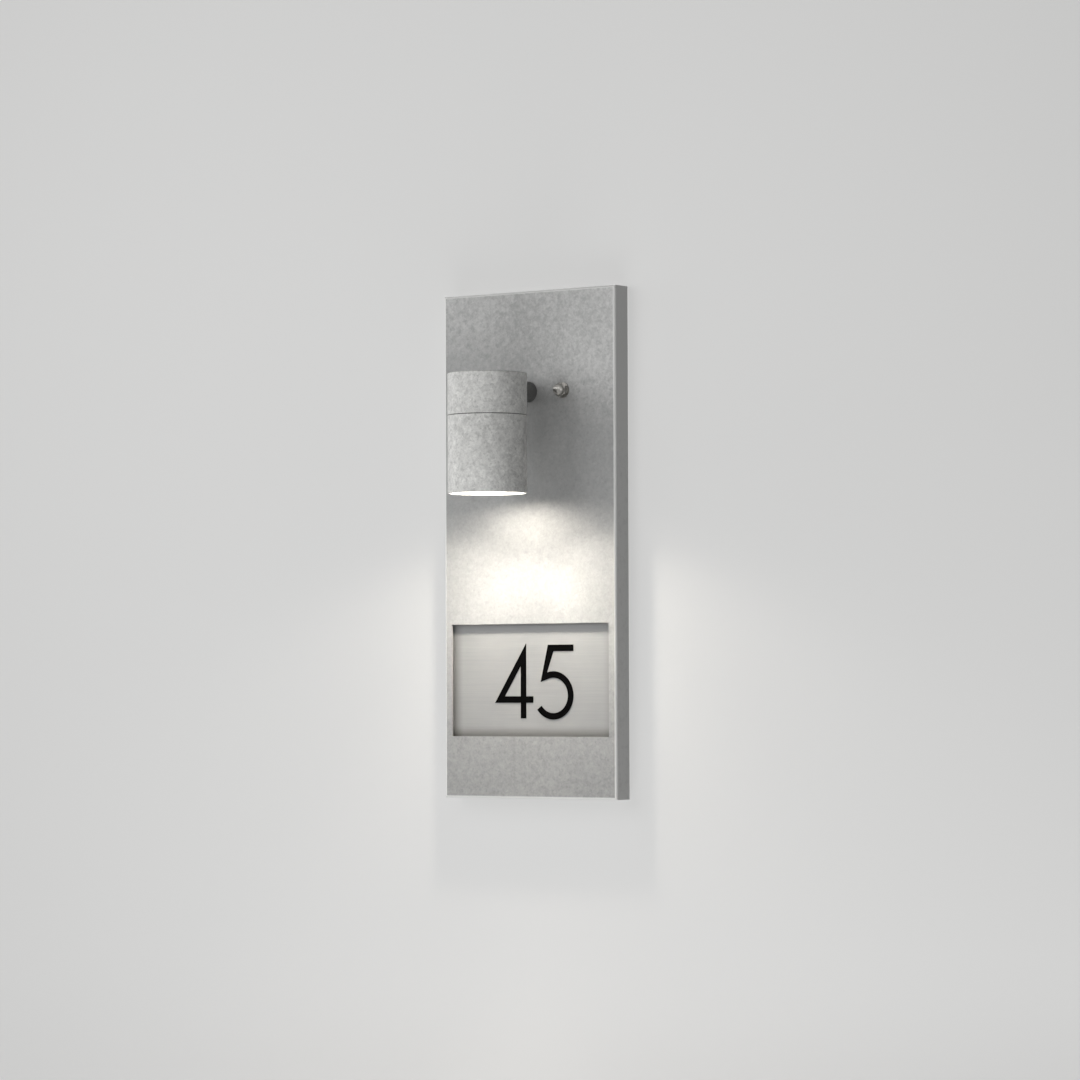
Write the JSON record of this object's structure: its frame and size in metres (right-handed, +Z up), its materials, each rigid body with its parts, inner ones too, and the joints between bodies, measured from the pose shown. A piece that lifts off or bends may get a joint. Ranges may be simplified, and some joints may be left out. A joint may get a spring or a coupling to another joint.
{
  "type": "house number light",
  "caption": "Wall-hung house number light: folded galvanised plate with a number window, and a round downlight on a short arm above it.",
  "frame": {"origin": "on the wall plane, level with the arm, midway between the wall bracket's two slots", "axes": "+Z up along the plate, +Y into the wall, +X to the right seen from the front"},
  "size_m": [0.16, 0.1022, 0.39],
  "materials": {
    "galvanised_steel": "satin",
    "satin_panel": "satin",
    "numeral_black": "satin",
    "stainless": "polished",
    "zinc_plate": "satin",
    "brass": "satin",
    "cast_aluminium": "satin",
    "black_rubber": "matte",
    "clear_silicone": "satin",
    "front_glass": "polished",
    "lamp_body": "satin",
    "ceramic": "matte",
    "cream_nylon": "satin",
    "brown_lead": "satin",
    "blue_lead": "satin",
    "earth_lead": "satin"
  },
  "bodies": {
    "root": {"front_plate": "galvanised_steel", "arm_tube": "galvanised_steel", "lamp_cap": "galvanised_steel", "lamp_shade": "galvanised_steel", "number_panel": "satin_panel", "numeral_four": "numeral_black", "numeral_five": "numeral_black", "cap_nuts": "stainless", "cap_nut_washers": "stainless", "wall_bracket": "zinc_plate", "bracket_studs": "zinc_plate", "panel_studs": "zinc_plate", "panel_nuts": "zinc_plate", "arm_nipple": "zinc_plate", "tooth_washer": "zinc_plate", "rear_arm_nut": "zinc_plate", "front_arm_nut": "zinc_plate", "shade_grub_screw": "zinc_plate", "holder_bracket": "zinc_plate", "holder_screws": "zinc_plate", "terminal_screws": "zinc_plate", "terminal_stud": "zinc_plate", "terminal_nut": "zinc_plate", "earth_stud": "zinc_plate", "earth_nut": "zinc_plate", "terminal_inserts": "brass", "earth_lug": "brass", "joint_ring": "cast_aluminium", "lens_ring": "cast_aluminium", "saddle_washer": "cast_aluminium", "shade_seal": "black_rubber", "lens_gasket": "clear_silicone", "lens_glass": "front_glass", "reflector_lamp": "lamp_body", "lampholder": "ceramic", "terminal_block": "cream_nylon", "panel_spacers": "cream_nylon", "live_lead": "brown_lead", "neutral_lead": "blue_lead", "earth_lead": "earth_lead"}
  },
  "joints": []
}
